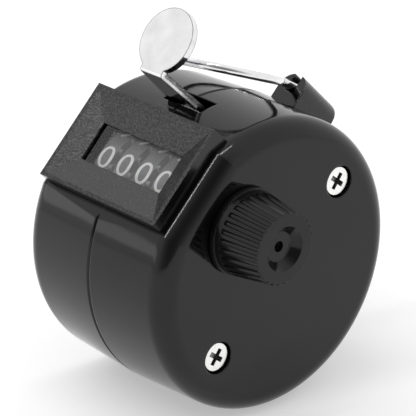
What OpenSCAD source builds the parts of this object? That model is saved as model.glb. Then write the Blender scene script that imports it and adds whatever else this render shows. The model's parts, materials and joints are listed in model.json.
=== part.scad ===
// Hand tally counter: a round case in two halves with number wheels, a thumb lever, a knob and a ring.
// Millimetres, +Z up. X runs along the wheel shaft, from the flat left face at X = 0 to the knob.
// Inside tilted(), Y runs up along the window's face and Z stands out of it.

/* [Case] */
// outer diameter of the case at the seam
case_d = 44; // [42:0.5:50]
// width of the case between its flat ends
case_w = 30; // [29:0.5:36]
// wall of both case halves
wall = 1.8; // [1.4:0.1:2.2]
// rounding of the end edges
end_round = 3; // [2:0.25:4]
// radius lost from the seam to an end, for the mould
draft = 0.5; // [0.2:0.1:0.8]
// depth of the flat for the window, cut into the round
flat_depth = 1.6; // [1.4:0.1:1.8]
// tilt of the window, up from the front
face_tilt = 45; // [35:1:55]
// chamfer of each half along the seam
seam = 0.3; // [0.1:0.05:0.5]

/* [Bezel] */
// width of the bezel along the shaft
bezel_w = 24.6; // [22:0.2:26]
// height of the bezel
bezel_h = 15.4; // [14:0.2:16]
// height of the bezel's rim above the flat
bezel_rise = 2.2; // [1.8:0.1:3]
// thickness of the rim
bezel_rim = 0.6; // [0.4:0.1:1]
// depth of the bezel's seat below the flat
bezel_seat = 1.2; // [1:0.1:1.4]
// drop of the window's edge below the rim
funnel = 1.4; // [1:0.1:1.6]
// shift of bezel and window up the face
bezel_up = 1.35; // [0.8:0.05:1.6]
// width of the window
window_w = 16.8; // [16:0.2:18]
// height of the window
window_h = 6; // [5:0.2:7]
// depth of the lens below the window's edge
lens_lip = 0.4; // [0.3:0.1:0.8]

/* [Number wheels] */
// radius of the number wheels
wheel_r = 8.6; // [8:0.1:9]
// distance from wheel to wheel
wheel_pitch = 4.05; // [3.9:0.05:4.2]
// depth of the wheels' surface below the flat
wheel_drop = 1.6; // [1.5:0.1:2]
// shift of the shaft up the face
wheel_up = 0.7; // [0.4:0.1:1]
// width of a wheel's gear ring or carry ring
ring_w = 0.55; // [0.45:0.05:0.6]
// gap between pieces that turn beside each other
side_gap = 0.1; // [0.08:0.01:0.15]
// radius of the shaft
shaft_r = 1.5; // [1.2:0.1:1.8]
// radial clearance of pieces that turn on a pin
run_gap = 0.06; // [0.03:0.01:0.1]

/* [Reset knob] */
// height of the knob
knob_h = 8; // [6:0.5:10]
// radius of the knob's fluted end
knob_r = 5.15; // [4.5:0.05:6]
// radius of the knob's base flange
knob_flange_r = 6.4; // [6.2:0.1:7]
// number of flutes
knob_flutes = 30; // [20:2:36]

/* [Thumb lever] */
// thickness of the lever's strip
strip_t = 1; // [0.8:0.1:1.2]
// width of the strip at the case
strip_w = 6.2; // [5:0.2:7]
// width of the strip at its bend
neck_w = 4.4; // [4:0.2:5]
// radius of the thumb pad
pad_r = 4.7; // [4:0.1:5.5]
// rise of the pad from square to the strip
pad_rise = 10; // [0:1:15]
// height of the bend above the flat
bend_rise = 6; // [5:0.1:7]
// travel of the lever
lever_travel = 16; // [10:1:18]

/* [Finger ring] */
// wire diameter of the ring
wire_d = 1.25; // [1.1:0.05:1.4]
// radius of the ring's round bow
bow_r = 8; // [7:0.1:8.2]
// width of the ring's bracket
bracket_w = 5; // [4.6:0.1:6]
// length of the bracket round the case
bracket_len = 8.5; // [8:0.1:9]
// height of the bracket above the round case
bracket_rise = 4.9; // [4.6:0.1:5.4]
// slope of the ring down from the window's normal, at rest
ring_dip = 23; // [18:1:26]
// cant of the ring about its own length
ring_cant = 6.4; // [0:0.2:8]

/* [Screws] */
// distance between the two screws
screw_span = 30.2; // [29:0.2:31]
// radius of a screw's head
screw_head_r = 2.05; // [1.8:0.05:2.2]
// radius of a screw's shank
screw_r = 1.2; // [1:0.1:1.4]

/* [Hidden] */
$fn = 96;
over = 1;
big = 200;
half_w = case_w / 2;
case_r = case_d / 2;
flat_z = case_r - flat_depth;
seat_z = flat_z - bezel_seat;
ledge_t = 1.2;
rim_z = flat_z + bezel_rise;
window_z = rim_z - funnel;
lens_top = window_z - lens_lip;
lens_margin = 0.9;
least_round = 0.4;
open_side = 0.4;
open_lead = 0.7;
shaft_z = flat_z - wheel_drop - wheel_r;
drum_w = wheel_pitch - 2 * ring_w - 2 * side_gap;
stack_w = 4 * wheel_pitch;

// gears: two teeth of a number wheel's ring go with each digit
gear_teeth = 20;
pinion_teeth = 8;
gear_module = (2 * wheel_r - 1) / gear_teeth;
gear_pitch_r = gear_module * gear_teeth / 2;
pinion_pitch_r = gear_module * pinion_teeth / 2;
pinion_z = shaft_z - gear_pitch_r - pinion_pitch_r;
tooth_gap = 0.15;
gear_tip_r = gear_pitch_r + gear_module / 2;
pinion_tip_r = pinion_pitch_r + gear_module * 0.7;
gear_root_r = gear_pitch_r - gear_module * 0.7 - tooth_gap;
pinion_root_r = pinion_pitch_r - gear_module / 2 - tooth_gap;
carry_r = gear_root_r - tooth_gap;
tooth_w = gear_module * 1.15;
base_gap = 1.3;
base_z = pinion_z - pinion_tip_r - base_gap;

// places along the shaft, from the middle of the case
plate_t = 0.8;
plate_gap = 2.5;
plate_x = stack_w / 2 + plate_gap;
base_half = 4;
check_arm_w = 5;
ratchet_gap = 0.25;
ratchet_x = stack_w / 2 + ratchet_gap;
ratchet_t = 0.95;
cavity_x = half_w - wall;
knob_gap = 0.25;
knob_x = half_w + knob_gap;
knob_bore = 5;
clip_gap = 0.3;
clip_x = ratchet_x + ratchet_t + clip_gap;
clip_t = 0.4;
clip_rim = 1.1;
groove_depth = 0.3;
groove_r = shaft_r - groove_depth;
shaft_gap = 0.4;
shaft_end = shaft_gap - cavity_x;
bush_flange_t = 0.5;
bush_x = plate_x - bush_flange_t;
bush_r = 2.4;
bush_rim = 0.7;

// screws
screw_recess = 0.45;
head_t = 1.2;
head_gap = 0.35;
counterbore_r = screw_head_r + head_gap;
column_r = 3;
screw_stop = 7;
screw_end = screw_stop - half_w;
screw_gap = 0.15;
screw_shift = 0.86;

// lever and pawls
ratchet_r = 5.8;
ratchet_teeth = 10;
ratchet_depth = 1;
pinion_shaft_r = 1;
pin_r = 0.7;
knuckle_r = 1.4;
knuckle_gap = 0.3;
pin_reach = wheel_r + knuckle_gap + knuckle_r;
pin_angle = 30;
pin_y = wheel_up + pin_reach * cos(pin_angle);
pin_z = shaft_z + pin_reach * sin(pin_angle);
slot_lead = 1.3;
slot_front = bezel_up + bezel_h / 2 + slot_lead;
strip_set = 2;
strip_y = slot_front + strip_set;
slot_sweep = 1.3;
slot_back = strip_y + strip_t / 2 + slot_sweep;
slot_side = 0.8;
slot_step = 1.2;
slot_gap = 0.3;
slot_drop = 1;
bend_z = flat_z + bend_rise;
tail_h = 2.8;
tail_side = 0.1;
tail_x = stack_w / 2 + tail_side;
lug_r = 1.1;
lug_w = 2.6;
pawl_set = 0.65;
pawl_y = strip_y + pawl_set;
pawl_drop = 6;
tail_gap = 0.55;
column_top = sqrt(pow(column_r + lug_r + tail_gap, 2) - pow(screw_span / 2 - pawl_y, 2)) - screw_shift;
pawl_z = max(shaft_z - pawl_drop, column_top);
tail_z = pawl_z - tail_h / 2;
pawl_reach = 1.2;
pawl_tip_y = wheel_up + ratchet_r + pawl_reach;
pawl_dip = 0.3;
pawl_tip_z = pawl_z - pawl_dip;
pawl_arm_w = 0.9;
pawl_pin_r = 0.6;
check_gap = 1.6;
check_y = wheel_up - ratchet_r - check_gap;
check_drop = 4.2;
check_z = shaft_z - check_drop;
check_lean = 0.8;
check_len = 5.2;
pin_head = 0.3;

// bracket and ring: the ring's stem goes into the bracket's slot, and turns on a cross pin there
wire_r = wire_d / 2;
bracket_sink = 1.1;
bracket_seat = case_r - bracket_sink;
bracket_top = case_r + bracket_rise;
bracket_set = 6.4;
bracket_back = -bracket_set;
bracket_front = bracket_back + bracket_len;
arch_r = bracket_w / 2;
hinge_drop = 1.8;
hinge_set = 1.2;
hinge_y = bracket_top - hinge_drop;
hinge_z = bracket_front - hinge_set;
hinge_side = 0.9;
stub_x = arch_r - hinge_side;
stem_gap = 0.15;
stem_len = 3.5;
stem_bend = 10;
neck_len = 2.2;
leg_angle = 55;
bow_z = neck_len + bow_r / sin(leg_angle);

// every piece is placed by this, in the window's own tilted axes
module tilted() {
    translate([half_w, 0, 0]) rotate([face_tilt, 0, 0]) children();
}

// a cylinder along the shaft's direction
module along_x(y, z, from, to, r) {
    translate([from, y, z]) rotate([0, 90, 0]) cylinder(h = to - from, r = r);
}

// a flat outline in Y and Z, given a thickness along the shaft
module slice(from, to) {
    translate([from, 0, 0]) rotate([90, 0, 90]) linear_extrude(to - from) children();
}

// a straight bar between two points of an outline
module bar(a, b, w) {
    turn = atan2(b[1] - a[1], b[0] - a[0]);
    translate(a) rotate(turn) translate([0, -w / 2]) square([norm(b - a), w]);
}

// a round rod between two points
module rod(a, b, r) {
    d = b - a;
    translate(a) rotate([0, acos(d[2] / norm(d)), atan2(d[1], d[0])]) cylinder(h = norm(d), r = r);
}

// a box from its lowest to its highest corner
module span(low, high) {
    translate(low) cube(high - low);
}

// one half of the round, from the seam to the end, with a rounded edge
module half_disc(inset) {
    r = case_r - inset;
    w = half_w - inset;
    e = max(end_round - inset, least_round);
    rotate([0, 90, 0]) rotate_extrude() {
        polygon([[0, 0], [r, 0], [r - draft, w - e], [r - draft - e, w - e], [r - draft - e, w], [0, w]]);
        intersection() {
            translate([r - draft - e, w - e]) circle(e);
            square([r, w]);
        }
    }
}

// the space below the window's flat, with a rounded edge at the end
module half_slab(inset, top) {
    w = half_w - inset;
    e = max(end_round - inset, least_round);
    rotate([90, 0, 0]) linear_extrude(big, center = true) {
        translate([0, -big]) square([w, big + top - e]);
        square([w - e, top]);
        translate([w - e, top - e]) circle(e);
    }
}

module half_shell() {
    difference() {
        intersection() {
            half_disc(0);
            half_slab(0, flat_z);
        }
        intersection() {
            half_disc(wall);
            half_slab(wall, seat_z - ledge_t);
        }
        rotate([0, 90, 0]) rotate_extrude()
            polygon([[case_r - seam, 0], [case_r + over, 0], [case_r + over, seam + over]]);
    }
}

// what both halves are cut for: the bezel, the wheels, the lever and the ring's bracket
module shared_cuts() {
    open_x = stack_w / 2 + open_side;
    open_y = sqrt(pow(wheel_r, 2) - pow(seat_z - ledge_t - shaft_z, 2)) + open_lead;
    slot_x = strip_w / 2 + slot_side;
    span([-bezel_w / 2, bezel_up - bezel_h / 2, seat_z],
        [bezel_w / 2, bezel_up + bezel_h / 2, case_r + over]);
    span([-open_x, wheel_up - open_y, shaft_z + wheel_r / 2], [open_x, wheel_up + open_y, case_r]);
    span([-slot_x, slot_front, flat_z - slot_step], [slot_x, slot_back, case_r + over]);
    span([-slot_x, strip_y - strip_t / 2 - slot_gap, pin_z - slot_drop], [slot_x, slot_back, case_r + over]);
    span([-bracket_w / 2, bracket_seat, bracket_back], [bracket_w / 2, case_r + over, bracket_front]);
    bracket_foot();
}

// what is at both screws
module at_screws() {
    for (side = [-1, 1]) translate([0, side * screw_span / 2, -side * screw_shift]) children();
}

// the bosses that hold the frame, and the columns of the screws
module half_bosses(hole_r) {
    for (z = [shaft_z, pinion_z]) along_x(wheel_up, z, plate_x + plate_t, cavity_x + wall / 2, column_r);
    at_screws() difference() {
        along_x(0, 0, 0, cavity_x + wall / 2, column_r);
        along_x(0, 0, -over, half_w, hole_r);
    }
}

module left_case() {
    color([0.02, 0.02, 0.02]) tilted() difference() {
        union() {
            mirror([1, 0, 0]) half_shell();
            mirror([1, 0, 0]) half_bosses(screw_r);
        }
        shared_cuts();
        along_x(wheel_up, shaft_z, -cavity_x, 0, shaft_r + run_gap);
        along_x(wheel_up, pinion_z, -cavity_x, 0, pinion_shaft_r);
    }
}

module right_case() {
    color([0.02, 0.02, 0.02]) tilted() difference() {
        union() {
            half_shell();
            half_bosses(screw_r + screw_gap);
        }
        shared_cuts();
        along_x(wheel_up, shaft_z, 0, half_w + over, shaft_r + run_gap);
        along_x(wheel_up, pinion_z, 0, cavity_x, pinion_shaft_r);
        at_screws() {
            along_x(0, 0, half_w - screw_recess - head_t, half_w + over, counterbore_r);
            along_x(0, 0, 0, half_w, screw_r + screw_gap);
        }
    }
}

// the sloped faces of the bezel, as two crossing wedges that meet in mitres
module bezel_funnel() {
    top_x = bezel_w / 2 - bezel_rim;
    top_y = bezel_h / 2 - bezel_rim;
    low_x = window_w / 2;
    low_y = window_h / 2;
    intersection() {
        rotate([90, 0, 0]) linear_extrude(bezel_h, center = true)
            polygon([[-low_x, window_z], [low_x, window_z], [top_x, rim_z], [top_x, rim_z + over],
                [-top_x, rim_z + over], [-top_x, rim_z]]);
        rotate([90, 0, 90]) linear_extrude(bezel_w, center = true)
            polygon([[-low_y, window_z], [low_y, window_z], [top_y, rim_z], [top_y, rim_z + over],
                [-top_y, rim_z + over], [-top_y, rim_z]]);
    }
}

module lens_plate() {
    x = window_w / 2 + lens_margin;
    y = window_h / 2 + lens_margin;
    span([-x, -y, seat_z], [x, y, lens_top]);
}

module bezel() {
    color([0.05, 0.05, 0.05]) tilted() translate([0, bezel_up, 0]) difference() {
        span([-bezel_w / 2, -bezel_h / 2, seat_z], [bezel_w / 2, bezel_h / 2, rim_z]);
        bezel_funnel();
        lens_plate();
        span([-window_w / 2, -window_h / 2, seat_z], [window_w / 2, window_h / 2, window_z + over / 2]);
    }
}

module window_lens() {
    color([0.8, 0.85, 0.85, 0.3]) tilted() translate([0, bezel_up, 0]) lens_plate();
}

// a flat gear with plain tapered teeth
module gear_outline(root_r, tip_r, teeth, turn) {
    circle(root_r);
    for (i = [0 : teeth - 1]) rotate(turn + i * 360 / teeth)
        polygon([[root_r - tooth_gap, -tooth_w * 0.68], [tip_r, -tooth_w * 0.3],
            [tip_r, tooth_w * 0.3], [root_r - tooth_gap, tooth_w * 0.68]]);
}

// the short teeth of a wheel that would push the next pinion on
module carry_outline() {
    circle(carry_r - tooth_gap);
    for (turn = [45, 45 + 360 / gear_teeth]) rotate(turn) translate([0, -tooth_w / 3])
        square([carry_r, tooth_w * 2 / 3]);
}

module number_wheel(place, geared, carrying) {
    middle = (place - 1.5) * wheel_pitch;
    color([0.25, 0.25, 0.27]) tilted() difference() {
        union() {
            along_x(wheel_up, shaft_z, middle - drum_w / 2, middle + drum_w / 2, wheel_r);
            if (geared) translate([0, wheel_up, shaft_z])
                slice(middle + drum_w / 2 - side_gap, middle + drum_w / 2 + ring_w)
                    gear_outline(gear_root_r, gear_tip_r, gear_teeth, 180 / gear_teeth);
            else along_x(wheel_up, shaft_z, middle, ratchet_x, ratchet_r / 2);
            if (carrying) translate([0, wheel_up, shaft_z])
                slice(middle - drum_w / 2 - ring_w, middle - drum_w / 2 + side_gap) carry_outline();
        }
        along_x(wheel_up, shaft_z, -half_w, half_w, shaft_r + run_gap);
    }
}

module wheel_units() { number_wheel(3, false, true); }
module wheel_tens() { number_wheel(2, true, true); }
module wheel_hundreds() { number_wheel(1, true, true); }
module wheel_thousands() { number_wheel(0, true, false); }

module ratchet_wheel() {
    step = 360 / ratchet_teeth;
    root_r = ratchet_r - ratchet_depth;
    color([0.75, 0.75, 0.72]) tilted() translate([0, wheel_up, shaft_z])
        slice(ratchet_x, ratchet_x + ratchet_t) difference() {
            polygon([for (i = [0 : ratchet_teeth - 1], tip = [0, 1])
                let (turn = (i + tip * 0.9) * step)
                (tip == 1 ? ratchet_r : root_r) * [cos(turn), sin(turn)]]);
            circle(shaft_r + run_gap);
        }
}

module main_shaft() {
    color([0.7, 0.7, 0.7]) tilted() {
        along_x(wheel_up, shaft_z, shaft_end, clip_x, shaft_r);
        along_x(wheel_up, shaft_z, clip_x - side_gap, clip_x + clip_t + side_gap, groove_r);
        along_x(wheel_up, shaft_z, clip_x + clip_t, knob_x + knob_bore, shaft_r);
    }
}

module shaft_clip() {
    color([0.6, 0.6, 0.6]) tilted() translate([0, wheel_up, shaft_z])
        slice(clip_x, clip_x + clip_t) difference() {
            circle(shaft_r + clip_rim);
            circle(groove_r);
            translate([-groove_r * 0.8, -shaft_r * 2]) square([groove_r * 1.6, shaft_r * 2]);
        }
}

module shaft_bush() {
    color([0.75, 0.6, 0.3]) tilted() difference() {
        union() {
            along_x(wheel_up, shaft_z, bush_x, plate_x, bush_r + bush_rim);
            along_x(wheel_up, shaft_z, bush_x, plate_x + plate_t, bush_r);
        }
        along_x(wheel_up, shaft_z, 0, half_w, shaft_r + run_gap);
    }
}

module reset_knob() {
    flange_t = 0.7;
    flange_step = 0.2;
    root_r = knob_flange_r - flange_step;
    flute_run = 0.9;
    flute_r = 0.36 * 2 * PI * knob_r / knob_flutes;
    flute_out = flute_r * 0.3;
    dish_r = knob_r * 0.63;
    dish_floor_r = knob_r * 0.42;
    dish = 1.2;
    hole_r = knob_r * 0.15;
    hole_depth = 0.8;
    body_x = knob_x + flange_t;
    end_x = knob_x + knob_h;
    slope = (root_r - knob_r) / (end_x - body_x);
    flute_from = [body_x + flute_run, 0, root_r + flute_out - slope * flute_run];
    flute_to = [end_x + over, 0, knob_r + flute_out - slope * over];
    color([0.03, 0.03, 0.03]) tilted() difference() {
        union() {
            along_x(wheel_up, shaft_z, knob_x, body_x, knob_flange_r);
            translate([body_x, wheel_up, shaft_z]) rotate([0, 90, 0])
                cylinder(h = end_x - body_x, r1 = root_r, r2 = knob_r);
        }
        translate([0, wheel_up, shaft_z]) for (i = [0 : knob_flutes - 1])
            rotate([i * 360 / knob_flutes, 0, 0]) rod(flute_from, flute_to, flute_r);
        translate([end_x - dish, wheel_up, shaft_z]) rotate([0, 90, 0])
            cylinder(h = dish, r1 = dish_floor_r, r2 = dish_r);
        along_x(wheel_up, shaft_z, end_x - dish - hole_depth, end_x, hole_r);
        along_x(wheel_up, shaft_z, knob_x - over, knob_x + knob_bore, shaft_r);
    }
}

module plate_outline(shaft_hole_r) {
    shaft = [wheel_up, shaft_z];
    pinion = [wheel_up, pinion_z];
    pin = [pin_y, pin_z];
    check = [check_y, check_z];
    difference() {
        union() {
            for (c = [shaft, pinion]) translate(c) circle(column_r + side_gap * 2);
            bar(pinion, shaft, column_r * 2);
            bar(shaft, pin, knuckle_r * 2);
            translate(pin) circle(knuckle_r - side_gap);
            bar(check, pinion, check_arm_w);
            translate(check) circle(check_arm_w / 2);
            translate([wheel_up - base_half, base_z]) square([base_half * 2, pinion_z - base_z]);
        }
        translate(shaft) circle(shaft_hole_r);
        translate(pinion) circle(pinion_shaft_r);
        translate(pin) circle(pin_r);
        translate(check) circle(pawl_pin_r);
    }
}

module mechanism_frame() {
    color([0.6, 0.62, 0.65]) tilted() {
        slice(plate_x, plate_x + plate_t) plate_outline(bush_r);
        slice(-plate_x - plate_t, -plate_x) plate_outline(shaft_r + run_gap);
        span([-plate_x - plate_t, wheel_up - base_half, base_z],
            [plate_x + plate_t, wheel_up + base_half, base_z + plate_t]);
    }
}

module pinion_shaft() {
    reach = (plate_x + plate_t + cavity_x) / 2;
    color([0.7, 0.7, 0.7]) tilted() along_x(wheel_up, pinion_z, -reach, reach, pinion_shaft_r);
}

module pinion(place) {
    middle = (place - 1) * wheel_pitch;
    half = ring_w - side_gap / 2;
    color([0.8, 0.78, 0.7]) tilted() translate([0, wheel_up, pinion_z]) slice(middle - half, middle + half)
        difference() {
            gear_outline(pinion_root_r, pinion_tip_r, pinion_teeth, 90);
            circle(pinion_shaft_r + run_gap);
        }
}

module pinion_tens() { pinion(2); }
module pinion_hundreds() { pinion(1); }
module pinion_thousands() { pinion(0); }

// the strip, as a flat outline in X and Z that narrows to the bend
module strip_outline() {
    polygon([[-strip_w / 2, tail_z], [tail_x, tail_z], [tail_x, tail_z + tail_h],
        [strip_w / 2, tail_z + tail_h], [strip_w / 2, flat_z - flat_depth], [neck_w / 2, bend_z],
        [-neck_w / 2, bend_z], [-strip_w / 2, flat_z - flat_depth]]);
}

module thumb_lever() {
    color([0.85, 0.85, 0.85]) tilted() {
        difference() {
            union() {
                translate([0, strip_y + strip_t / 2, 0]) rotate([90, 0, 0])
                    linear_extrude(strip_t) strip_outline();
                along_x(pin_y, pin_z, -strip_w / 2, strip_w / 2, knuckle_r);
                span([-strip_w / 2, pin_y, pin_z - strip_t], [strip_w / 2, strip_y, pin_z + strip_t]);
                along_x(pawl_y, pawl_z, tail_x - lug_w, tail_x, lug_r);
            }
            along_x(pin_y, pin_z, -half_w, half_w, pin_r + run_gap);
            along_x(pawl_y, pawl_z, 0, half_w, pawl_pin_r);
        }
        along_x(strip_y, bend_z, -neck_w / 2, neck_w / 2, strip_t / 2);
        translate([0, strip_y, bend_z]) rotate([pad_rise, 0, 0]) translate([0, 0, -strip_t / 2]) {
            translate([-neck_w / 2, 0, 0]) cube([neck_w, pad_r, strip_t]);
            translate([0, pad_r, 0]) cylinder(h = strip_t, r = pad_r);
        }
    }
}

module lever_pin() {
    color([0.7, 0.7, 0.7]) tilted() along_x(pin_y, pin_z, -plate_x - plate_t, plate_x + plate_t, pin_r);
}

// a round tube along a list of points, with its rings set across the path
module tube(path, r, sides) {
    last = len(path) - 1;
    rings = [for (i = [0 : last])
        let (ahead = path[min(i + 1, last)] - path[max(i - 1, 0)],
            t = ahead / norm(ahead),
            across = cross(t, [1, 0, 0]),
            u = across / norm(across),
            v = cross(u, t))
        for (k = [0 : sides - 1]) path[i] + r * (u * cos(k * 360 / sides) + v * sin(k * 360 / sides))];
    walls = [for (i = [0 : last - 1], k = [0 : sides - 1])
        [i * sides + k, i * sides + (k + 1) % sides, (i + 1) * sides + (k + 1) % sides, (i + 1) * sides + k]];
    first_cap = [for (k = [sides - 1 : -1 : 0]) k];
    last_cap = [for (k = [0 : sides - 1]) last * sides + k];
    polyhedron(rings, concat(walls, [first_cap, last_cap]));
}

module lever_spring() {
    coil_r = (pin_r + knuckle_r) / 2 + 0.1;
    spring_wire_r = 0.2;
    coil_pitch = 0.9;
    curls = 2.75;
    steps = 8;
    start_x = -strip_w / 2 - 0.35;
    sides = 6;
    hook = 3.4;
    foot = 3;
    coil = [for (i = [0 : curls * steps])
        let (turn = curls * 360 - i * 360 / steps)
        [start_x - coil_pitch * i / steps, pin_y + coil_r * cos(turn), pin_z + coil_r * sin(turn)]];
    echo(lever_spring_gap = coil_pitch - 2 * spring_wire_r);
    color([0.7, 0.7, 0.7]) tilted() tube(concat([coil[0] + [0, hook, 0]], coil,
        [coil[len(coil) - 1] - [0, 0, foot]]), spring_wire_r, sides);
}

// a small arm from its pivot to a rounded tip
module pawl(pivot, tip) {
    slice(ratchet_x, ratchet_x + ratchet_t) difference() {
        union() {
            translate(pivot) circle(lug_r);
            bar(pivot, tip, pawl_arm_w);
            translate(tip) circle(pawl_arm_w / 2);
        }
        translate(pivot) circle(pawl_pin_r + run_gap);
    }
}

module drive_pawl() {
    color([0.75, 0.7, 0.5]) tilted() pawl([pawl_y, pawl_z], [pawl_tip_y, pawl_tip_z]);
}

module drive_pawl_pin() {
    end_x = ratchet_x + ratchet_t + pin_head;
    color([0.7, 0.7, 0.7]) tilted() along_x(pawl_y, pawl_z, tail_x - lug_w, end_x, pawl_pin_r);
}

module check_pawl() {
    color([0.75, 0.7, 0.5]) tilted() pawl([check_y, check_z], [check_y + check_lean, check_z + check_len]);
}

module check_pawl_pin() {
    color([0.7, 0.7, 0.7]) tilted() along_x(check_y, check_z, ratchet_x, plate_x + plate_t, pawl_pin_r);
}

// a leaf that stands on the frame beside the check pawl
module check_pawl_spring() {
    leaf_t = 0.3;
    leaf_gap = 0.2;
    leaf_drop = 3.2;
    leaf_y = check_y + lug_r + leaf_gap;
    color([0.8, 0.8, 0.75]) tilted()
        span([ratchet_x, leaf_y, check_z - leaf_drop], [plate_x, leaf_y + leaf_t, check_z]);
}

module case_screws() {
    cross_w = 0.7;
    cross_depth = 0.9;
    cross_half = screw_head_r * 0.62;
    cross_turn = 8;
    head_x = half_w - screw_recess;
    color([0.8, 0.8, 0.78]) tilted() at_screws() difference() {
        union() {
            along_x(0, 0, head_x - head_t, head_x, screw_head_r);
            along_x(0, 0, screw_end, head_x, screw_r);
        }
        for (turn = [cross_turn, cross_turn + 90]) rotate([turn, 0, 0])
            span([head_x - cross_depth, -cross_half, -cross_w / 2],
                [head_x + over, cross_half, cross_w / 2]);
    }
}

// the foot that the two case halves close round
module bracket_foot() {
    stem = [2, 2.5];
    toe = [3.2, 3];
    toe_t = 1.1;
    foot_drop = 1.6;
    foot_y = case_r - wall - foot_drop;
    middle = (bracket_back + bracket_front) / 2;
    span([-stem[0], foot_y, middle - stem[1]], [stem[0], bracket_seat + side_gap, middle + stem[1]]);
    span([-toe[0], foot_y, middle - toe[1]], [toe[0], foot_y + toe_t, middle + toe[1]]);
}

module ring_bracket() {
    back_r = 1;
    slot_x = wire_r + stem_gap;
    floor_gap = 0.5;
    stub_gap = 0.1;
    color([0.05, 0.05, 0.05]) tilted() {
        difference() {
            intersection() {
                slice(-arch_r, arch_r) {
                    translate([bracket_seat, bracket_back])
                        square([bracket_top - back_r - bracket_seat, bracket_len]);
                    translate([bracket_seat, bracket_back + back_r])
                        square([bracket_top - bracket_seat, bracket_len - back_r]);
                    translate([bracket_top - back_r, bracket_back + back_r]) circle(back_r);
                }
                translate([0, 0, bracket_back]) linear_extrude(bracket_len) {
                    translate([-arch_r, bracket_seat])
                        square([bracket_w, bracket_top - arch_r - bracket_seat]);
                    translate([0, bracket_top - arch_r]) circle(arch_r);
                }
            }
            span([-slot_x, hinge_y - wire_r - floor_gap, hinge_z - wire_r - stem_gap],
                [slot_x, bracket_top + over, bracket_front + over]);
            along_x(hinge_y, hinge_z, -stub_x - stub_gap, stub_x + stub_gap, wire_r + run_gap);
        }
        bracket_foot();
    }
}

module finger_ring() {
    bead_r = wire_r + 0.02;
    bow_x = bow_r * cos(leg_angle);
    bow_low = bow_z - bow_r * sin(leg_angle);
    elbow = stem_len * [0, sin(stem_bend), cos(stem_bend)];
    color([0.85, 0.85, 0.85]) tilted() translate([0, hinge_y, hinge_z]) {
        along_x(0, 0, -stub_x, stub_x, wire_r);
        rotate([ring_dip, 0, 0]) {
            rod([0, 0, 0], elbow, wire_r);
            translate(elbow) {
                sphere(bead_r);
                rod([0, 0, 0], [0, 0, neck_len], wire_r);
                rotate([0, 0, ring_cant]) {
                    translate([0, 0, neck_len]) sphere(bead_r);
                    for (side = [-1, 1]) {
                        rod([0, 0, neck_len], [side * bow_x, 0, bow_low], wire_r);
                        translate([side * bow_x, 0, bow_low]) sphere(bead_r);
                    }
                    translate([0, 0, bow_z]) rotate([90, 0, 0]) rotate([0, 0, -leg_angle])
                        rotate_extrude(angle = 180 + 2 * leg_angle) translate([bow_r, 0]) circle(wire_r);
                }
            }
        }
    }
}

left_case();
right_case();
bezel();
window_lens();
wheel_units();
wheel_tens();
wheel_hundreds();
wheel_thousands();
ratchet_wheel();
main_shaft();
shaft_clip();
shaft_bush();
reset_knob();
mechanism_frame();
pinion_shaft();
pinion_tens();
pinion_hundreds();
pinion_thousands();
thumb_lever();
lever_pin();
lever_spring();
drive_pawl();
drive_pawl_pin();
check_pawl();
check_pawl_pin();
check_pawl_spring();
case_screws();
ring_bracket();
finger_ring();
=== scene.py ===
# The looks of a hand tally counter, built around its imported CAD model.
import json
import math

import bmesh
import bpy
from mathutils import Matrix, Vector


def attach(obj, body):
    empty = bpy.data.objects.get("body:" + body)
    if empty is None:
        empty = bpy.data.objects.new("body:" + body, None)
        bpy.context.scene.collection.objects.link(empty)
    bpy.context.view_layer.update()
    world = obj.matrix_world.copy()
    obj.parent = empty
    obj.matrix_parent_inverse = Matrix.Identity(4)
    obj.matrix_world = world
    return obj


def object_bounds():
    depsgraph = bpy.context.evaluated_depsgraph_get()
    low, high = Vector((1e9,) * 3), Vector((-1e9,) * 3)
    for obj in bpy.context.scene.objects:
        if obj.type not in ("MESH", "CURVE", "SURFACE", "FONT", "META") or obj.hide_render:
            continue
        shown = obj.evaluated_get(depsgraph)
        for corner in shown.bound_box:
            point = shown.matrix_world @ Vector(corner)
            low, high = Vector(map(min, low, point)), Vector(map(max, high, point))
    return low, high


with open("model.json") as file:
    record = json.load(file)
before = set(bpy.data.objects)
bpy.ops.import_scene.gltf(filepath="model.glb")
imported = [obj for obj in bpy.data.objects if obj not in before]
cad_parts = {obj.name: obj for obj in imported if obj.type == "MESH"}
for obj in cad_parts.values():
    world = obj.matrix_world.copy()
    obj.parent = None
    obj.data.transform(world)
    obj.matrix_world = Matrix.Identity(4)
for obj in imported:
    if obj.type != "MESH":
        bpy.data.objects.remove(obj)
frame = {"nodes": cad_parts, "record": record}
cad_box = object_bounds()
nodes = frame["nodes"]
scene = bpy.context.scene

MM = 0.001

# the case's axis at mid-width, and the window's axes: p runs up along its face, n stands out of it
MIDDLE = Vector((15.0, 0.0, 0.0)) * MM
TILT = math.radians(45)
AXIS_X = Vector((1, 0, 0))
AXIS_P = Vector((0, math.cos(TILT), math.sin(TILT)))
AXIS_N = Vector((0, -math.sin(TILT), math.cos(TILT)))

# number wheels, in millimetres
WHEEL_R = 8.6
WHEEL_PITCH = 4.05
SHAFT_P = 0.7
SHAFT_N = 10.2
WHEELS = ("thousands", "hundreds", "tens", "units")

# from the middle of a gap between two drums to the side of its painted light, as a share of the pitch, and
# how fast it fades
GAP_SHARE = 0.16
GAP_FADE = 0.02

# face of the screw heads, and the depths below it where the painted shade in the recesses starts and is full
HEAD_X = 29.55 * MM
RECESS_SHADE_START = 0.1 * MM
RECESS_SHADE_FULL = 0.35 * MM

# middle of the lever's strip and height of its bend, in the window's axes
STRIP_P = 12.35 * MM
BEND_N = 26.4 * MM

# where the sheared front of the strip's cut edges turns into the torn back, which is painted darker as
# painted shade, and where the cut ends
TEAR_SHADE_START = STRIP_P - 0.15 * MM
TEAR_SHADE_FULL = STRIP_P + 0.05 * MM
CUT_END = BEND_N - 0.3 * MM

# width of the painted dark line along the lever's edges, a painted reflection of dark on their rounded edges
PAINTED_EDGE_LINE = 0.3 * MM

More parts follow.
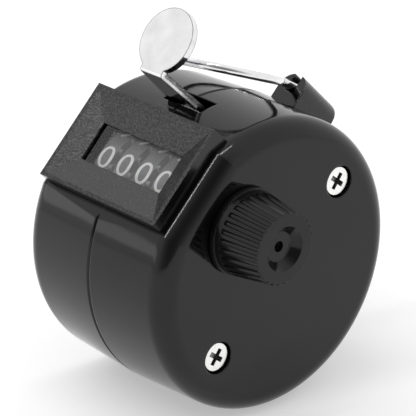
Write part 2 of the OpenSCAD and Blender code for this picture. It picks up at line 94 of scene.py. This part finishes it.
# digits: sizes in millimetres, the stroke in the font's units, angles in degrees
DIGIT_H = 3.45
DIGIT_W = 2.55
DIGIT_T = 0.02
DIGIT_STROKE = -0.004
DIGIT_TURN = -2.0
DIGIT_STEP = 36
DIGIT_BANDS = 12

# depth of fine bumps, and rays for each rounded edge
FINE_DEPTH = 0.02 * MM
EDGE_SAMPLES = 6


def tilted(x, p, n):
    """A point given in millimetres in the window's axes, in metres in the row frame."""
    return MIDDLE + (AXIS_X * x + AXIS_P * p + AXIS_N * n) * MM


# steps of a node tree
def new_material(name, color, roughness, metallic=0.0):
    """A principled material, with its node tree and its shader."""
    made = bpy.data.materials.new(name)
    made.use_nodes = True
    tree = made.node_tree
    shader = tree.nodes["Principled BSDF"]
    shader.inputs["Base Color"].default_value = (*color, 1)
    shader.inputs["Roughness"].default_value = roughness
    shader.inputs["Metallic"].default_value = metallic
    made.diffuse_color = (*color, 1)
    return made, tree, shader


def coordinates(tree, stretch=(1, 1, 1)):
    """The object's own coordinates in metres, stretched along each axis."""
    source = tree.nodes.new("ShaderNodeTexCoord")
    mapping = tree.nodes.new("ShaderNodeMapping")
    mapping.inputs["Scale"].default_value = stretch
    tree.links.new(source.outputs["Object"], mapping.inputs["Vector"])
    return mapping.outputs["Vector"]


def noise(tree, vector, size, detail=3.0, roughness=0.55):
    """Noise with features of about this size in metres."""
    made = tree.nodes.new("ShaderNodeTexNoise")
    made.inputs["Scale"].default_value = 1 / size
    made.inputs["Detail"].default_value = detail
    made.inputs["Roughness"].default_value = roughness
    tree.links.new(vector, made.inputs["Vector"])
    return made.outputs["Fac"]


def spread(tree, value, low, high, start=0.3, end=0.7):
    """A value from start to end, spread from low to high. A noise runs from about 0.3 to 0.7."""
    made = tree.nodes.new("ShaderNodeMapRange")
    made.inputs["From Min"].default_value = start
    made.inputs["From Max"].default_value = end
    made.inputs["To Min"].default_value = low
    made.inputs["To Max"].default_value = high
    tree.links.new(value, made.inputs["Value"])
    return made.outputs["Result"]


def blend_colors(tree, value, first, second, start=0.3, end=0.7):
    """Two colours, mixed by a value from start to end."""
    ramp = tree.nodes.new("ShaderNodeValToRGB")
    ramp.color_ramp.elements[0].position = start
    ramp.color_ramp.elements[0].color = (*first, 1)
    ramp.color_ramp.elements[1].position = end
    ramp.color_ramp.elements[1].color = (*second, 1)
    tree.links.new(value, ramp.inputs["Fac"])
    return ramp.outputs["Color"]


def combine(tree, operation, first, second):
    """Arithmetic on two values."""
    made = tree.nodes.new("ShaderNodeMath")
    made.operation = operation
    tree.links.new(first, made.inputs[0])
    tree.links.new(second, made.inputs[1])
    return made.outputs[0]


def times(tree, first, second):
    """The product of two values."""
    return combine(tree, "MULTIPLY", first, second)


def math_step(tree, operation, value, number):
    """Arithmetic on a value and a number."""
    made = tree.nodes.new("ShaderNodeMath")
    made.operation = operation
    made.inputs[1].default_value = number
    tree.links.new(value, made.inputs[0])
    return made.outputs[0]


def along(tree, vector, axis):
    """The length of a vector along an axis."""
    dot = tree.nodes.new("ShaderNodeVectorMath")
    dot.operation = "DOT_PRODUCT"
    dot.inputs[1].default_value = axis
    tree.links.new(vector, dot.inputs[0])
    return dot.outputs["Value"]


def turned_to(tree, axis):
    """The cosine of the angle between a face and an axis."""
    geometry = tree.nodes.new("ShaderNodeNewGeometry")
    return along(tree, geometry.outputs["True Normal"], axis)


def rounded(tree, radius):
    """The normal of faces whose edges are rounded over a radius in metres."""
    bevel = tree.nodes.new("ShaderNodeBevel")
    bevel.samples = EDGE_SAMPLES
    bevel.inputs["Radius"].default_value = radius
    return bevel.outputs["Normal"]


def near_edge(tree, radius):
    """1 along the edges of a piece, and 0 on its faces."""
    geometry = tree.nodes.new("ShaderNodeNewGeometry")
    dot = tree.nodes.new("ShaderNodeVectorMath")
    dot.operation = "DOT_PRODUCT"
    tree.links.new(rounded(tree, radius), dot.inputs[0])
    tree.links.new(geometry.outputs["True Normal"], dot.inputs[1])
    return spread(tree, dot.outputs["Value"], low=1.0, high=0.0, start=0.8, end=0.97)


def surface(tree, shader, edge, layers):
    """Rounds the edges over a radius in metres, and lays bumps of (value, strength, depth) on top."""
    normal = rounded(tree, edge)
    for value, strength, depth in layers:
        bump = tree.nodes.new("ShaderNodeBump")
        bump.inputs["Strength"].default_value = strength
        bump.inputs["Distance"].default_value = depth
        tree.links.new(value, bump.inputs["Height"])
        tree.links.new(normal, bump.inputs["Normal"])
        normal = bump.outputs["Normal"]
    tree.links.new(normal, shader.inputs["Normal"])


# finishes
def gloss_plastic(name, dark, light, rough_low, rough_high, edge, shine):
    """Polished moulding, with faint clouds and waves."""
    made, tree, shader = new_material(name, light, rough_low)
    shader.inputs["Specular IOR Level"].default_value = shine
    where = coordinates(tree)
    cloud = noise(tree, where, size=6 * MM)
    fine = noise(tree, where, size=0.35 * MM, detail=4)
    waves = noise(tree, where, size=9 * MM, detail=1)
    tree.links.new(blend_colors(tree, cloud, dark, light), shader.inputs["Base Color"])
    tree.links.new(spread(tree, fine, rough_low, rough_high), shader.inputs["Roughness"])
    surface(tree, shader, edge, [(waves, 0.12, 0.15 * MM), (fine, 0.03, FINE_DEPTH)])
    return made


def textured_plastic(name, dark, light, grain, strength, edge, axis):
    """Spark-textured on the faces towards an axis, and smooth on the others; the grains there are coloured
    lighter as painted glints.
    """
    made, tree, shader = new_material(name, dark, roughness=0.2)
    where = coordinates(tree)
    grains = noise(tree, where, size=grain, detail=2, roughness=0.6)
    grains = spread(tree, grains, low=0.0, high=1.0, start=0.42, end=0.7)
    fine = noise(tree, where, size=grain / 3)
    front = spread(tree, turned_to(tree, axis), low=0.0, high=1.0, start=0.3, end=0.6)
    spark_glints = times(tree, grains, front)
    # painted glints: the grains are coloured lighter, standing for the glints off their facets
    shades = blend_colors(tree, spark_glints, dark, light, start=0.0, end=1.0)
    tree.links.new(shades, shader.inputs["Base Color"])
    rough = spread(tree, spark_glints, low=0.14, high=0.26, start=0.0, end=1.0)
    tree.links.new(rough, shader.inputs["Roughness"])
    surface(tree, shader, edge, [(spark_glints, strength, grain / 4), (fine, 0.1, FINE_DEPTH)])
    return made


def plain_plastic(name, dark, light, edge):
    """Matt moulding, for pieces inside."""
    made, tree, shader = new_material(name, light, roughness=0.5)
    where = coordinates(tree)
    cloud = noise(tree, where, size=1.6 * MM)
    fine = noise(tree, where, size=0.2 * MM)
    tree.links.new(blend_colors(tree, cloud, dark, light), shader.inputs["Base Color"])
    tree.links.new(spread(tree, fine, low=0.42, high=0.58), shader.inputs["Roughness"])
    surface(tree, shader, edge, [(fine, 0.1, FINE_DEPTH)])
    return made


def wheel_plastic(name, drum, gap_lightened, edge):
    """Grey drums, with the gear rings between them coloured paler as painted light that cancels the shade in
    the gaps.
    """
    made, tree, shader = new_material(name, drum, roughness=0.5)
    where = coordinates(tree)
    from_middle = math_step(tree, "SUBTRACT", along(tree, where, AXIS_X), MIDDLE.x)
    in_pitches = math_step(tree, "DIVIDE", from_middle, WHEEL_PITCH * MM)
    from_gap = math_step(tree, "PINGPONG", in_pitches, 0.5)
    lightened_gap = spread(tree, from_gap, low=1.0, high=0.0, start=GAP_SHARE, end=GAP_SHARE + GAP_FADE)
    cloud = spread(tree, noise(tree, where, size=1.6 * MM), low=0.85, high=1.0)
    fine = noise(tree, where, size=0.2 * MM)
    # painted light: the gear rings in the gaps are coloured paler than the drums, to cancel the shade that
    # falls between them
    shades = blend_colors(tree, times(tree, lightened_gap, cloud), drum, gap_lightened, start=0.0, end=1.0)
    tree.links.new(shades, shader.inputs["Base Color"])
    tree.links.new(spread(tree, fine, low=0.42, high=0.58), shader.inputs["Roughness"])
    surface(tree, shader, edge, [(fine, 0.1, FINE_DEPTH)])
    return made


def metal(name, dark, light, rough_low, rough_high, edge, stretch, depth):
    """Bare or plated metal, with lines drawn out by the stretch."""
    made, tree, shader = new_material(name, light, rough_low, metallic=1.0)
    lines = noise(tree, coordinates(tree, stretch), size=0.4 * MM, detail=4)
    cloud = noise(tree, coordinates(tree), size=3 * MM)
    tree.links.new(blend_colors(tree, cloud, dark, light), shader.inputs["Base Color"])
    tree.links.new(spread(tree, lines, rough_low, rough_high), shader.inputs["Roughness"])
    surface(tree, shader, edge, [(lines, depth, FINE_DEPTH)])
    return made


def cut_strip(name, cut, plate, edge):
    """Bright plating with painted dark edge lines, a painted reflection of dark on its rounded edges, and the
    strip's cut sides: sheared in front and torn behind, the back half darker as painted shade.
    """
    made, tree, shader = new_material(name, plate, roughness=0.08, metallic=1.0)
    where = coordinates(tree)
    sideways = turned_to(tree, AXIS_X)
    side = spread(tree, times(tree, sideways, sideways), low=0.0, high=1.0, start=0.35, end=0.6)
    strip = spread(tree, along(tree, where, AXIS_N), low=1.0, high=0.0, start=CUT_END, end=BEND_N)
    # painted shade: the back half of the cut sides is coloured darker, standing for its shadow side; the fine
    # ticks are marks of the cut
    torn_and_shaded = spread(tree, along(tree, where, AXIS_P), low=0.3, high=1.0, start=TEAR_SHADE_START, end=TEAR_SHADE_FULL)
    fine = noise(tree, where, size=0.2 * MM, detail=2)
    ticks = times(tree, torn_and_shaded, spread(tree, fine, low=0.55, high=1.0, start=0.35, end=0.65))
    tears_and_shade = times(tree, times(tree, side, strip), ticks)
    cloud = spread(tree, noise(tree, where, size=3 * MM), low=0.0, high=0.15)
    # painted reflection: a dark line is coloured along the strip's edges, standing for the dark that their
    # rounded edges reflect
    marks_and_painted_dark = combine(tree, "ADD", tears_and_shade, near_edge(tree, PAINTED_EDGE_LINE))
    marks_and_painted_dark = combine(tree, "ADD", marks_and_painted_dark, cloud)
    tree.links.new(blend_colors(tree, marks_and_painted_dark, plate, cut, start=0.0, end=1.0), shader.inputs["Base Color"])
    rough = spread(tree, tears_and_shade, low=0.07, high=0.35, start=0.0, end=1.0)
    tree.links.new(rough, shader.inputs["Roughness"])
    surface(tree, shader, edge, [(tears_and_shade, 0.4, 0.05 * MM)])
    return made


def screw_metal(name, recess_shade, plate, edge):
    """Bright plating, with painted shade below the level of the heads, in their recesses."""
    made, tree, shader = new_material(name, plate, roughness=0.2, metallic=1.0)
    where = coordinates(tree)
    height = along(tree, where, AXIS_X)
    unshaded = spread(tree, height, low=0.0, high=1.0, start=HEAD_X - RECESS_SHADE_FULL, end=HEAD_X - RECESS_SHADE_START)
    cloud = spread(tree, noise(tree, where, size=0.8 * MM), low=0.88, high=1.0)
    fine = noise(tree, where, size=0.15 * MM)
    # painted shade: the heads' recesses and sides below their face are coloured darker
    shades = blend_colors(tree, times(tree, unshaded, cloud), recess_shade, plate, start=0.0, end=1.0)
    tree.links.new(shades, shader.inputs["Base Color"])
    tree.links.new(spread(tree, fine, low=0.16, high=0.3), shader.inputs["Roughness"])
    surface(tree, shader, edge, [(fine, 0.12, FINE_DEPTH)])
    return made


def clear_sheet(name):
    """Clear plastic, with fine wear."""
    made, tree, shader = new_material(name, (0.99, 0.99, 0.99), roughness=0.02)
    shader.inputs["Transmission Weight"].default_value = 1.0
    shader.inputs["IOR"].default_value = 1.49
    fine = noise(tree, coordinates(tree), size=0.8 * MM, detail=4)
    tree.links.new(spread(tree, fine, low=0.01, high=0.06), shader.inputs["Roughness"])
    surface(tree, shader, 0.05 * MM, [(fine, 0.02, 0.01 * MM)])
    return made


def ink(name):
    """White print."""
    made, tree, shader = new_material(name, (0.95, 0.95, 0.94), roughness=0.5)
    fine = noise(tree, coordinates(tree), size=0.25 * MM)
    shades = blend_colors(tree, fine, (0.92, 0.92, 0.9), (0.97, 0.97, 0.96))
    tree.links.new(shades, shader.inputs["Base Color"])
    tree.links.new(spread(tree, fine, low=0.45, high=0.6), shader.inputs["Roughness"])
    return made


BLACK = (0.002, 0.002, 0.002)
SOFT_BLACK = (0.004, 0.004, 0.004)
SPARK_GLINT_GREY = (0.045, 0.045, 0.045)
BRACKET_GLINT_GREY = (0.014, 0.014, 0.014)
DRUM_GREY = (0.16, 0.16, 0.166)
GAP_LIGHTENED_GREY = (0.27, 0.27, 0.28)
IVORY = (0.55, 0.53, 0.48)
LIGHT_IVORY = (0.66, 0.64, 0.58)
STEEL = (0.5, 0.5, 0.52)
LIGHT_STEEL = (0.62, 0.62, 0.63)
BRASS = (0.62, 0.45, 0.2)
LIGHT_BRASS = (0.75, 0.58, 0.3)
CHROME = (0.78, 0.78, 0.79)
LIGHT_CHROME = (0.88, 0.88, 0.89)
ZINC = (0.95, 0.95, 0.93)
RECESS_SHADE_GREY = (0.2, 0.2, 0.19)
TORN_SHADE_GREY = (0.05, 0.05, 0.05)
EVEN = (1, 1, 1)
DRAWN_ALONG_X = (0.15, 1, 1)
finishes = {
    "case_black": gloss_plastic("case_black", BLACK, SOFT_BLACK, 0.06, 0.13, edge=0.3 * MM, shine=0.36),
    "knob_black": gloss_plastic("knob_black", BLACK, SOFT_BLACK, 0.12, 0.2, edge=0.1 * MM, shine=0.32),
    "textured_black": textured_plastic("textured_black", BLACK, SPARK_GLINT_GREY, 0.3 * MM, 0.35, 0.1 * MM, AXIS_N),
    "bracket_black": textured_plastic("bracket_black", BLACK, BRACKET_GLINT_GREY, 0.4 * MM, 0.2, 0.3 * MM, AXIS_X),
    "lens": clear_sheet("lens"),
    "wheel_grey": wheel_plastic("wheel_grey", DRUM_GREY, GAP_LIGHTENED_GREY, edge=0.08 * MM),
    "steel": metal("steel", STEEL, LIGHT_STEEL, 0.22, 0.4, 0.1 * MM, DRAWN_ALONG_X, depth=0.1),
    "zinc": screw_metal("zinc", RECESS_SHADE_GREY, ZINC, edge=0.06 * MM),
    "brass": metal("brass", BRASS, LIGHT_BRASS, 0.2, 0.35, 0.08 * MM, EVEN, depth=0.1),
    "chrome": metal("chrome", CHROME, LIGHT_CHROME, 0.04, 0.12, 0.18 * MM, EVEN, depth=0.04),
    "inner_plastic": plain_plastic("inner_plastic", IVORY, LIGHT_IVORY, edge=0.06 * MM),
}
strip_chrome = cut_strip("strip_chrome", TORN_SHADE_GREY, LIGHT_CHROME, edge=0.12 * MM)
white_ink = ink("white_ink")

for piece in frame["record"]["subparts"]:
    slots = nodes[piece["node"]].data.materials
    slots.clear()
    slots.append(strip_chrome if piece["node"] == "thumb_lever" else finishes[piece["material_slot"]])


# digits, printed round each number wheel
def digit_outline(digit):
    """A mesh of one digit, in the font's units, one unit thick."""
    letter = bpy.data.curves.new("digit", "FONT")
    letter.body = str(digit)
    letter.offset = DIGIT_STROKE
    letter.extrude = 0.5
    letter.resolution_u = 6
    holder = bpy.data.objects.new("digit", letter)
    scene.collection.objects.link(holder)
    graph = bpy.context.evaluated_depsgraph_get()
    outline = bpy.data.meshes.new_from_object(holder.evaluated_get(graph))
    bpy.data.objects.remove(holder)
    return outline


def outline_size(outline):
    """The left, right, low and high ends of a digit."""
    xs = [v.co.x for v in outline.vertices]
    ys = [v.co.y for v in outline.vertices]
    return min(xs), max(xs), min(ys), max(ys)


def printed_digits(name, middle_x, outlines):
    """All ten digits, scaled to size and wrapped round one wheel."""
    left, right, low, high = outline_size(outlines[0])
    scale_x = DIGIT_W / (right - left)
    scale_y = DIGIT_H / (high - low)
    whole = bmesh.new()
    for digit, outline in enumerate(outlines):
        shape = bmesh.new()
        shape.from_mesh(outline)
        d_left, d_right = outline_size(outline)[:2]
        for band in range(1, DIGIT_BANDS):
            cut = low + (high - low) * band / DIGIT_BANDS
            everything = shape.verts[:] + shape.edges[:] + shape.faces[:]
            bmesh.ops.bisect_plane(shape, geom=everything, plane_co=(0, cut, 0), plane_no=(0, 1, 0))
        for v in shape.verts:
            x = middle_x + (v.co.x - (d_left + d_right) / 2) * scale_x
            arc = (v.co.y - (low + high) / 2) * scale_y
            turn = math.radians(DIGIT_TURN - DIGIT_STEP * digit) + arc / WHEEL_R
            r = WHEEL_R + v.co.z * 2 * DIGIT_T
            v.co = tilted(x, SHAFT_P + r * math.sin(turn), SHAFT_N + r * math.cos(turn))
        part = bpy.data.meshes.new("digit_part")
        shape.to_mesh(part)
        shape.free()
        whole.from_mesh(part)
        bpy.data.meshes.remove(part)
    bmesh.ops.recalc_face_normals(whole, faces=whole.faces[:])
    made = bpy.data.meshes.new(name)
    whole.to_mesh(made)
    whole.free()
    made.materials.append(white_ink)
    piece = bpy.data.objects.new(name, made)
    scene.collection.objects.link(piece)
    return piece


outlines = [digit_outline(digit) for digit in range(10)]
for place, wheel in enumerate(WHEELS):
    digits = printed_digits("digits_" + wheel, (place - 1.5) * WHEEL_PITCH, outlines)
    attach(digits, wheel)
for outline in outlines:
    bpy.data.meshes.remove(outline)

# camera, at the photograph's place
VIEW_AZIMUTH = math.radians(48.74)
VIEW_ELEVATION = math.radians(22.83)
VIEW_DISTANCE = 366.2 * MM
VIEW_SHIFT = (-0.010 * MM, 4.143 * MM)
VIEW_LENS = 221.7
SENSOR_WIDTH = 36
CLIP_START = 0.01
outward = Vector((math.sin(VIEW_AZIMUTH), -math.cos(VIEW_AZIMUTH), 0))
back = outward * math.cos(VIEW_ELEVATION) + Vector((0, 0, math.sin(VIEW_ELEVATION)))
right = Vector((math.cos(VIEW_AZIMUTH), math.sin(VIEW_AZIMUTH), 0))
up = back.cross(right)
camera_data = bpy.data.cameras.new("camera")
camera_data.lens = VIEW_LENS
camera_data.sensor_width = SENSOR_WIDTH
camera_data.clip_start = CLIP_START
camera = bpy.data.objects.new("camera", camera_data)
scene.collection.objects.link(camera)
camera.matrix_world = Matrix.Translation(
    MIDDLE + back * VIEW_DISTANCE + right * VIEW_SHIFT[0] + up * VIEW_SHIFT[1]
) @ Matrix((right, up, back)).transposed().to_4x4()
scene.camera = camera

# floor
FLOOR_HALF = 1.5
FLOOR_GAP = 0.02 * MM
FLOOR_GREY = (0.75, 0.75, 0.75)
FLOOR_GLOW = 0.38
floor_z = cad_box[0][2] - FLOOR_GAP
floor_mesh = bpy.data.meshes.new("floor")
corners = [(-1, -1), (1, -1), (1, 1), (-1, 1)]
floor_mesh.from_pydata([(x * FLOOR_HALF, y * FLOOR_HALF, floor_z) for x, y in corners], [], [(0, 1, 2, 3)])
floor = bpy.data.objects.new("floor", floor_mesh)
scene.collection.objects.link(floor)


def seen_directly(tree):
    """1 for rays from the camera, from gloss and through glass, and 0 for light that scatters."""
    path = tree.nodes.new("ShaderNodeLightPath")
    seen = combine(tree, "MAXIMUM", path.outputs["Is Camera Ray"], path.outputs["Is Glossy Ray"])
    return combine(tree, "MAXIMUM", seen, path.outputs["Is Transmission Ray"])


floor_made, floor_tree, floor_shader = new_material("floor", FLOOR_GREY, roughness=0.8)
floor_shader.inputs["Specular IOR Level"].default_value = 0.0
glow = floor_tree.nodes.new("ShaderNodeEmission")
glow.inputs["Strength"].default_value = FLOOR_GLOW
plus = floor_tree.nodes.new("ShaderNodeAddShader")
choose = floor_tree.nodes.new("ShaderNodeMixShader")
floor_tree.links.new(floor_shader.outputs["BSDF"], plus.inputs[0])
floor_tree.links.new(glow.outputs["Emission"], plus.inputs[1])
floor_tree.links.new(seen_directly(floor_tree), choose.inputs["Fac"])
floor_tree.links.new(floor_shader.outputs["BSDF"], choose.inputs[1])
floor_tree.links.new(plus.outputs["Shader"], choose.inputs[2])
floor_tree.links.new(choose.outputs["Shader"], floor_tree.nodes["Material Output"].inputs["Surface"])
floor_mesh.materials.append(floor_made)

# world: white where it is seen, softer where it lights, and for gloss darker on two sides of the room
SKY_LIGHT = 0.7
FRONT_RIGHT = (0.69, -0.61, 0.39)
LEFT = (-0.98, 0.07, 0.15)
world = bpy.data.worlds.new("world")
world.use_nodes = True
scene.world = world
sky_tree = world.node_tree
sky = sky_tree.nodes["Background"]
sky.inputs["Color"].default_value = (1, 1, 1, 1)
sky_place = sky_tree.nodes.new("ShaderNodeTexCoord")


def darker_toward(axis, level, start, end):
    """1 over most of the sky and a lower level round an axis, by the cosine of the angle."""
    cosine = along(sky_tree, sky_place.outputs["Generated"], axis)
    return spread(sky_tree, cosine, 1.0, level, start, end)


front_right_wall = darker_toward(FRONT_RIGHT, level=0.2, start=0.55, end=0.95)
left_wall = darker_toward(LEFT, level=0.3, start=0.86, end=0.95)
room = times(sky_tree, front_right_wall, left_wall)
rays = sky_tree.nodes.new("ShaderNodeLightPath")
in_gloss = sky_tree.nodes.new("ShaderNodeMix")
in_gloss.inputs["A"].default_value = 1.0
sky_tree.links.new(rays.outputs["Is Glossy Ray"], in_gloss.inputs["Factor"])
sky_tree.links.new(room, in_gloss.inputs["B"])
sky_strength = sky_tree.nodes.new("ShaderNodeMix")
sky_strength.inputs["A"].default_value = SKY_LIGHT
sky_tree.links.new(seen_directly(sky_tree), sky_strength.inputs["Factor"])
sky_tree.links.new(in_gloss.outputs["Result"], sky_strength.inputs["B"])
sky_tree.links.new(sky_strength.outputs["Result"], sky.inputs["Strength"])

# lamps
LAMP_DISTANCE = 0.6


def soft_box(name, direction, wide, tall, brightness):
    """An evenly bright rectangle that faces the case."""
    lamp_data = bpy.data.lights.new(name, "AREA")
    lamp_data.shape = "RECTANGLE"
    lamp_data.size = wide
    lamp_data.size_y = tall
    lamp_data.energy = brightness * math.pi * wide * tall
    lamp = bpy.data.objects.new(name, lamp_data)
    scene.collection.objects.link(lamp)
    toward = Vector(direction).normalized()
    lamp.location = MIDDLE + toward * LAMP_DISTANCE
    lamp.rotation_euler = (-toward).to_track_quat("-Z", "Y").to_euler()


soft_box("strip", (-0.08, -0.35, 0.94), wide=0.02, tall=0.6, brightness=30)
soft_box("side", (-0.69, -0.71, 0.12), wide=0.5, tall=0.07, brightness=1.0)
soft_box("top", (-0.69, -0.03, 0.72), wide=0.25, tall=0.25, brightness=0.5)

scene.view_settings.view_transform = "Standard"
